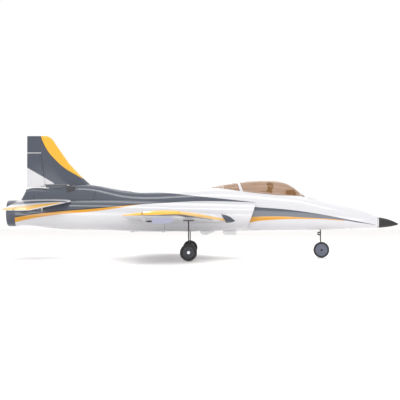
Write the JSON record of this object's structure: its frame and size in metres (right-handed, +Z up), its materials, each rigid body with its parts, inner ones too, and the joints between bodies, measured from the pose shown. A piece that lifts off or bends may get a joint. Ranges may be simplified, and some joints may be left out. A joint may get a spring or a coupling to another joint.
{
  "type": "model jet plane",
  "caption": "Remote control ducted fan jet with wire landing gear, tinted canopy hatch, hinged control surfaces, servo linkages and side intakes.",
  "frame": {"origin": "centre of the model's length and span, on the plane that the wheels stand on", "axes": "+X to the nose, +Y to the left wing tip, +Z up"},
  "size_m": [0.8864, 0.75, 0.2774],
  "materials": {
    "foam_white": "satin",
    "black_plastic": "satin",
    "grey_plastic": "satin",
    "smoked_glass": "gloss",
    "servo_case": "satin",
    "white_nylon": "satin",
    "steel_wire": "satin",
    "carbon": "satin",
    "motor_metal": "satin",
    "battery_wrap": "satin",
    "strap": "matte",
    "tyre_rubber": "matte"
  },
  "bodies": {
    "airframe": {"airframe_screws": "steel_wire", "battery_pack": "battery_wrap", "battery_strap": "strap", "belly_hatch": "foam_white", "belly_scoops": "foam_white", "control_hinges": "steel_wire", "exhaust_collar": "grey_plastic", "fan_housing": "black_plastic", "fan_motor": "motor_metal", "fuselage_front": "foam_white", "fuselage_middle": "foam_white", "fuselage_tail": "foam_white", "gear_mounts": "black_plastic", "main_struts": "steel_wire", "nose_cone": "black_plastic", "nose_gear_block": "black_plastic", "receiver": "black_plastic", "servo_pods": "foam_white", "spars": "carbon", "speed_controller": "battery_wrap", "stabilizer_left": "foam_white", "stabilizer_right": "foam_white", "steering_servo": "servo_case", "tail_servos": "servo_case", "thrust_tube": "carbon", "vertical_fin": "foam_white", "wing_left": "foam_white", "wing_right": "foam_white", "wing_servos": "servo_case"},
    "hatch": {"canopy_hatch": "foam_white", "canopy_glass": "smoked_glass", "cockpit_tray": "black_plastic", "pilot": "black_plastic", "instrument_hood": "black_plastic", "hatch_magnets": "steel_wire"},
    "nose_leg": {"nose_strut": "steel_wire"},
    "nose_wheel": {"nose_tyre": "tyre_rubber", "nose_hub": "grey_plastic"},
    "fan": {"fan_rotor": "white_nylon"},
    "steering_servo_arm": {"steering_arm": "white_nylon"},
    "steering_pushrod": {"steering_rod": "steel_wire"},
    "rudder_panel": {"rudder": "foam_white"},
    "rudder_servo_arm": {"rudder_arm": "white_nylon"},
    "rudder_pushrod": {"rudder_rod": "steel_wire"},
    "main_wheel_left": {"main_tyre_left": "tyre_rubber", "main_hub_left": "grey_plastic"},
    "aileron_panel_left": {"aileron_left": "foam_white"},
    "aileron_servo_arm_left": {"aileron_arm_left": "white_nylon"},
    "aileron_pushrod_left": {"aileron_rod_left": "steel_wire"},
    "elevator_panel_left": {"elevator_left": "foam_white"},
    "elevator_servo_arm_left": {"elevator_arm_left": "white_nylon"},
    "elevator_pushrod_left": {"elevator_rod_left": "steel_wire"},
    "main_wheel_right": {"main_tyre_right": "tyre_rubber", "main_hub_right": "grey_plastic"},
    "aileron_panel_right": {"aileron_right": "foam_white"},
    "aileron_servo_arm_right": {"aileron_arm_right": "white_nylon"},
    "aileron_pushrod_right": {"aileron_rod_right": "steel_wire"},
    "elevator_panel_right": {"elevator_right": "foam_white"},
    "elevator_servo_arm_right": {"elevator_arm_right": "white_nylon"},
    "elevator_pushrod_right": {"elevator_rod_right": "steel_wire"}
  },
  "joints": [
    {"name": "aileron_turn_left", "type": "hinge", "parent": "airframe", "child": "aileron_panel_left", "pos_m": [-0.119, 0.23198, 0.09397], "axis": [0, 0.9996, 0.028], "range_deg": [-20, 20]},
    {"name": "aileron_turn_right", "type": "hinge", "parent": "airframe", "child": "aileron_panel_right", "pos_m": [-0.119, -0.23198, 0.09397], "axis": [0, -0.9996, 0.028], "range_deg": [-20, 20]},
    {"name": "aileron_servo_turn_left", "type": "hinge", "parent": "airframe", "child": "aileron_servo_arm_left", "pos_m": [-0.077, 0.23198, 0.09397], "axis": [0, 0.9996, 0.028], "range_deg": [-20, 20]},
    {"name": "aileron_pushrod_turn_left", "type": "hinge", "parent": "aileron_servo_arm_left", "child": "aileron_pushrod_left", "pos_m": [-0.077, 0.23228, 0.08348], "axis": [0, 0.9996, 0.028], "range_deg": [-20, 20]},
    {"name": "aileron_servo_turn_right", "type": "hinge", "parent": "airframe", "child": "aileron_servo_arm_right", "pos_m": [-0.077, -0.23198, 0.09397], "axis": [0, -0.9996, 0.028], "range_deg": [-20, 20]},
    {"name": "aileron_pushrod_turn_right", "type": "hinge", "parent": "aileron_servo_arm_right", "child": "aileron_pushrod_right", "pos_m": [-0.077, -0.23228, 0.08348], "axis": [0, -0.9996, 0.028], "range_deg": [-20, 20]},
    {"name": "elevator_turn_left", "type": "hinge", "parent": "airframe", "child": "elevator_panel_left", "pos_m": [-0.39262, 0.03586, 0.12672], "axis": [-0.0691, 0.9874, -0.1422], "range_deg": [-18, 18]},
    {"name": "elevator_turn_right", "type": "hinge", "parent": "airframe", "child": "elevator_panel_right", "pos_m": [-0.39262, -0.03586, 0.12672], "axis": [-0.0691, -0.9874, -0.1422], "range_deg": [-18, 18]},
    {"name": "elevator_servo_turn_left", "type": "hinge", "parent": "airframe", "child": "elevator_servo_arm_left", "pos_m": [-0.36162, 0.03444, 0.11683], "axis": [-0.0691, 0.9874, -0.1422], "range_deg": [-18, 18]},
    {"name": "elevator_pushrod_turn_left", "type": "hinge", "parent": "elevator_servo_arm_left", "child": "elevator_pushrod_left", "pos_m": [-0.36162, 0.03315, 0.10792], "axis": [-0.0691, 0.9874, -0.1422], "range_deg": [-18, 18]},
    {"name": "elevator_servo_turn_right", "type": "hinge", "parent": "airframe", "child": "elevator_servo_arm_right", "pos_m": [-0.36162, -0.03444, 0.11683], "axis": [-0.0691, -0.9874, -0.1422], "range_deg": [-18, 18]},
    {"name": "elevator_pushrod_turn_right", "type": "hinge", "parent": "elevator_servo_arm_right", "child": "elevator_pushrod_right", "pos_m": [-0.36162, -0.03315, 0.10792], "axis": [-0.0691, -0.9874, -0.1422], "range_deg": [-18, 18]},
    {"name": "rudder_turn", "type": "hinge", "parent": "airframe", "child": "rudder_panel", "pos_m": [-0.35963, 0, 0.16445], "axis": [-0.1456, 0, 0.9893], "range_deg": [-28, 28]},
    {"name": "rudder_servo_turn", "type": "hinge", "parent": "airframe", "child": "rudder_servo_arm", "pos_m": [-0.305, -0.0106, 0.16445], "axis": [-0.1456, 0, 0.9893], "range_deg": [-28, 28]},
    {"name": "rudder_pushrod_turn", "type": "hinge", "parent": "rudder_servo_arm", "child": "rudder_pushrod", "pos_m": [-0.305, -0.0201, 0.16445], "axis": [-0.1456, 0, 0.9893], "range_deg": [-28, 28]},
    {"name": "nose_steering", "type": "hinge", "parent": "airframe", "child": "nose_leg", "pos_m": [0.267, 0, 0.0834], "axis": [0, 0, 1], "range_deg": [-28, 28]},
    {"name": "steering_servo_turn", "type": "hinge", "parent": "airframe", "child": "steering_servo_arm", "pos_m": [0.304, 0, 0.0834], "axis": [0, 0, 1], "range_deg": [-28, 28]},
    {"name": "steering_pushrod_turn", "type": "hinge", "parent": "steering_servo_arm", "child": "steering_pushrod", "pos_m": [0.304, -0.0095, 0.0834], "axis": [0, 0, 1], "range_deg": [-28, 28]},
    {"name": "nose_wheel_spin", "type": "hinge", "parent": "nose_leg", "child": "nose_wheel", "pos_m": [0.269, 0, 0.0184], "axis": [0, 1, 0], "continuous": true},
    {"name": "main_wheel_spin_left", "type": "hinge", "parent": "airframe", "child": "main_wheel_left", "pos_m": [-0.031, 0.185, 0.0184], "axis": [0, 1, 0], "continuous": true},
    {"name": "main_wheel_spin_right", "type": "hinge", "parent": "airframe", "child": "main_wheel_right", "pos_m": [-0.031, -0.185, 0.0184], "axis": [0, 1, 0], "continuous": true},
    {"name": "fan_spin", "type": "hinge", "parent": "airframe", "child": "fan", "pos_m": [-0.118, 0, 0.1016], "axis": [1, 0, 0], "continuous": true},
    {"name": "hatch_lift", "type": "slide", "parent": "airframe", "child": "hatch", "axis": [0, 0, 1], "range_m": [0, 0.09]}
  ],
  "couplings": [
    {"joint": "aileron_servo_turn_left", "follows": "aileron_turn_left", "ratio": 1},
    {"joint": "aileron_pushrod_turn_left", "follows": "aileron_turn_left", "ratio": -1},
    {"joint": "aileron_servo_turn_right", "follows": "aileron_turn_left", "ratio": 1},
    {"joint": "aileron_pushrod_turn_right", "follows": "aileron_turn_left", "ratio": -1},
    {"joint": "aileron_turn_right", "follows": "aileron_turn_left", "ratio": 1},
    {"joint": "elevator_turn_right", "follows": "elevator_turn_left", "ratio": -1},
    {"joint": "elevator_servo_turn_left", "follows": "elevator_turn_left", "ratio": 1},
    {"joint": "elevator_pushrod_turn_left", "follows": "elevator_turn_left", "ratio": -1},
    {"joint": "elevator_servo_turn_right", "follows": "elevator_turn_left", "ratio": -1},
    {"joint": "elevator_pushrod_turn_right", "follows": "elevator_turn_left", "ratio": 1},
    {"joint": "rudder_servo_turn", "follows": "rudder_turn", "ratio": 1},
    {"joint": "rudder_pushrod_turn", "follows": "rudder_turn", "ratio": -1},
    {"joint": "nose_steering", "follows": "rudder_turn", "ratio": -1},
    {"joint": "steering_servo_turn", "follows": "rudder_turn", "ratio": -1},
    {"joint": "steering_pushrod_turn", "follows": "rudder_turn", "ratio": 1}
  ]
}
